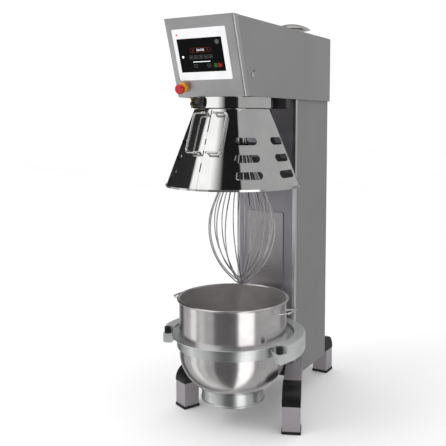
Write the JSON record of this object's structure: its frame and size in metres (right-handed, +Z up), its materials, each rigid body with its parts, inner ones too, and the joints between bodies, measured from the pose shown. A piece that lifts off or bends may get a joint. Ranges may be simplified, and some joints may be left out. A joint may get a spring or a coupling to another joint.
{
  "type": "commercial stand mixer",
  "caption": "Floor-standing planetary mixer: lifting bowl in a horseshoe yoke, balloon whisk, steel swing guard, sloping touch panel and square column on splayed legs.",
  "frame": {"origin": "middle of the footprint's box, on the floor", "axes": "+Z up, -Y towards the user, +X to the user's right as they face the machine"},
  "size_m": [0.636, 1.081, 1.771],
  "materials": {
    "painted_casing": "satin grey powder coat",
    "fascia_steel": "fine brushed stainless steel",
    "panel_steel": "brushed stainless sheet",
    "polished_steel": "polished stainless steel",
    "bowl_steel": "spun stainless steel",
    "wire_steel": "drawn stainless wire",
    "cast_yoke": "silver painted casting",
    "dark_casting": "dark painted cast iron",
    "leg_paint": "grey metallic paint",
    "black_rubber": "moulded rubber",
    "black_plastic": "matt black moulding",
    "white_bezel": "white moulded frame",
    "display_glass": "black cover glass",
    "estop_yellow": "yellow moulding",
    "estop_red": "red moulding",
    "machined_steel": "turned steel",
    "bronze": "sintered bronze",
    "belt_rubber": "ribbed drive belt"
  },
  "bodies": {
    "frame": {"front_legs": "leg_paint", "rear_legs": "leg_paint", "leg_bumpers": "black_plastic", "rubber_feet": "black_rubber", "base_plate": "dark_casting", "column_sides": "painted_casing", "corner_trims": "polished_steel", "front_panel": "panel_steel", "ribbed_cover": "black_plastic", "rear_cover": "painted_casing", "cable_gland": "black_plastic", "head_casing": "painted_casing", "fascia": "fascia_steel", "head_plate": "dark_casting", "vent_neck": "polished_steel", "vent_cap": "polished_steel", "control_bezel": "white_bezel", "display_glass": "display_glass", "estop_collar": "estop_yellow", "main_bearings": "machined_steel", "drive_belt": "belt_rubber", "motor_bracket": "dark_casting", "motor_housing": "dark_casting", "inverter_box": "black_plastic", "gear_housing": "dark_casting", "ring_gear": "machined_steel", "guard_rear_shell": "polished_steel", "guard_collar": "polished_steel", "guard_switch": "black_plastic", "actuator_body": "machined_steel", "guide_rods": "machined_steel", "guide_bracket": "dark_casting"},
    "planetary": {"main_shaft": "machined_steel", "main_pulley": "machined_steel", "planet_carrier": "dark_casting", "planet_bearings": "machined_steel"},
    "agitator_shaft": {"planet_shaft": "machined_steel", "planet_pinion": "machined_steel", "bayonet_pin": "machined_steel"},
    "whisk": {"whisk_hub": "wire_steel", "whisk_wires": "wire_steel"},
    "motor_rotor": {"motor_shaft": "machined_steel", "motor_pulley": "machined_steel"},
    "lift": {"bowl_yoke": "cast_yoke", "lift_carriage": "dark_casting", "guide_bushes": "bronze", "apron_plate": "panel_steel", "actuator_rod": "machined_steel"},
    "bowl": {"bowl_shell": "bowl_steel", "bowl_flange": "bowl_steel", "bowl_base_ring": "bowl_steel", "bowl_handles": "bowl_steel"},
    "knob_right": {"lock_knob_right": "black_plastic"},
    "knob_left": {"lock_knob_left": "black_plastic"},
    "door_right": {"guard_door_right": "polished_steel", "guard_handle_right": "polished_steel"},
    "door_left": {"guard_door_left": "polished_steel", "guard_handle_left": "polished_steel"},
    "estop": {"estop_button": "estop_red"},
    "lock": {"side_lock": "polished_steel"}
  },
  "joints": [
    {"name": "planetary_spin", "type": "hinge", "parent": "frame", "child": "planetary", "pos_m": [0, -0.2565, 1.33], "axis": [0, 0, 1], "continuous": true},
    {"name": "agitator_spin", "type": "hinge", "parent": "planetary", "child": "agitator_shaft", "pos_m": [0, -0.1815, 1.33], "axis": [0, 0, 1], "continuous": true},
    {"name": "motor_spin", "type": "hinge", "parent": "frame", "child": "motor_rotor", "pos_m": [0, 0.2435, 1.5], "axis": [0, 0, 1], "continuous": true},
    {"name": "whisk_bayonet", "type": "hinge", "parent": "agitator_shaft", "child": "whisk", "pos_m": [0, -0.1815, 1.24], "axis": [0, 0, 1], "range_deg": [0, 20]},
    {"name": "bowl_lift", "type": "slide", "parent": "frame", "child": "lift", "axis": [0, 0, 1], "range_m": [0, 0.43]},
    {"name": "bowl_release", "type": "slide", "parent": "lift", "child": "bowl", "axis": [0, 0, 1], "range_m": [0, 0.012]},
    {"name": "knob_turn_right", "type": "hinge", "parent": "lift", "child": "knob_right", "pos_m": [0.275, -0.3565, 0.39], "axis": [0, 0, 1], "range_deg": [0, 180]},
    {"name": "knob_turn_left", "type": "hinge", "parent": "lift", "child": "knob_left", "pos_m": [-0.275, -0.3565, 0.39], "axis": [0, 0, 1], "range_deg": [0, 180]},
    {"name": "door_swing_right", "type": "hinge", "parent": "frame", "child": "door_right", "pos_m": [0, -0.2565, 1.35], "axis": [0, 0, 1], "range_deg": [0, 55]},
    {"name": "door_swing_left", "type": "hinge", "parent": "frame", "child": "door_left", "pos_m": [0, -0.2565, 1.35], "axis": [0, 0, -1], "range_deg": [0, 55]},
    {"name": "estop_push", "type": "slide", "parent": "frame", "child": "estop", "axis": [0, 0.9548, 0.2972], "range_m": [0, 0.005]},
    {"name": "side_lock_turn", "type": "hinge", "parent": "frame", "child": "lock", "pos_m": [0.161, -0.3735, 1.484], "axis": [1, 0, 0], "range_deg": [0, 90]}
  ],
  "couplings": [
    {"joint": "agitator_spin", "follows": "planetary_spin", "ratio": -3.5},
    {"joint": "motor_spin", "follows": "planetary_spin", "ratio": 3}
  ]
}
